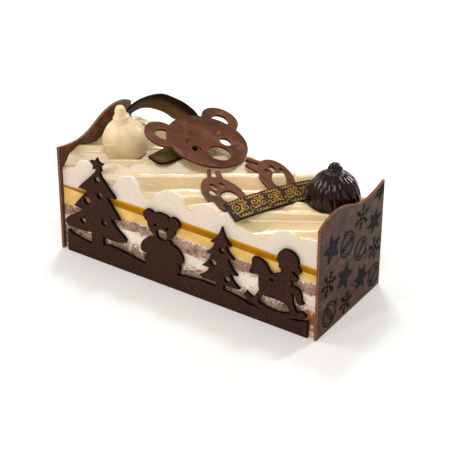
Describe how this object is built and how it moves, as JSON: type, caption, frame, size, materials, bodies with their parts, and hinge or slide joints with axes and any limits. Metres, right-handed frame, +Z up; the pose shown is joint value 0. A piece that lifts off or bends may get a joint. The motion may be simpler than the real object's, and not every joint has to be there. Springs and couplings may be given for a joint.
{
  "type": "yule log cake",
  "caption": "Layered yule log cake with ridged glazed mousse top, waved chocolate end plaques, cut-out figure fences and chocolate decorations.",
  "frame": {"origin": "centre of the bounding box at the height of the surface the cake stands on", "axes": "+X along the log towards the dark bauble, -Y towards the front fence, +Z up"},
  "size_m": [0.25, 0.1148, 0.1259],
  "materials": {
    "crumble": "coarse baked crumb with lighter and darker grains",
    "white_cream": "smooth cut cream",
    "nut_sponge": "porous cut sponge with brown nut specks",
    "yellow_cream": "smooth cut cream",
    "fruit_gel": "clear set gel, glossy",
    "glazed_mousse": "glossy vanilla glaze with fine dark specks on top, matte white mousse on the cut sides",
    "milk_chocolate": "satin with a faint bloom",
    "dark_chocolate": "matte, finely grained",
    "printed_bar": "satin dark chocolate with a printed gold ornament",
    "white_chocolate": "satin ivory",
    "glossy_dark_chocolate": "high gloss",
    "curl_chocolate": "satin dark chocolate with an olive sheen on the inner face"
  },
  "bodies": {
    "root": {"base_crumble": "crumble", "cream_lower": "white_cream", "nut_sponge": "nut_sponge", "cream_yellow": "yellow_cream", "fruit_gel": "fruit_gel", "mousse_top": "glazed_mousse", "plaque_left": "milk_chocolate", "plaque_right": "milk_chocolate", "fence_front": "dark_chocolate", "fence_back": "dark_chocolate", "bear_head": "milk_chocolate", "paw_front": "milk_chocolate", "paw_back": "milk_chocolate", "gold_bar": "printed_bar", "bauble_white": "white_chocolate", "bauble_dark": "glossy_dark_chocolate", "chocolate_curl": "curl_chocolate"}
  },
  "joints": []
}
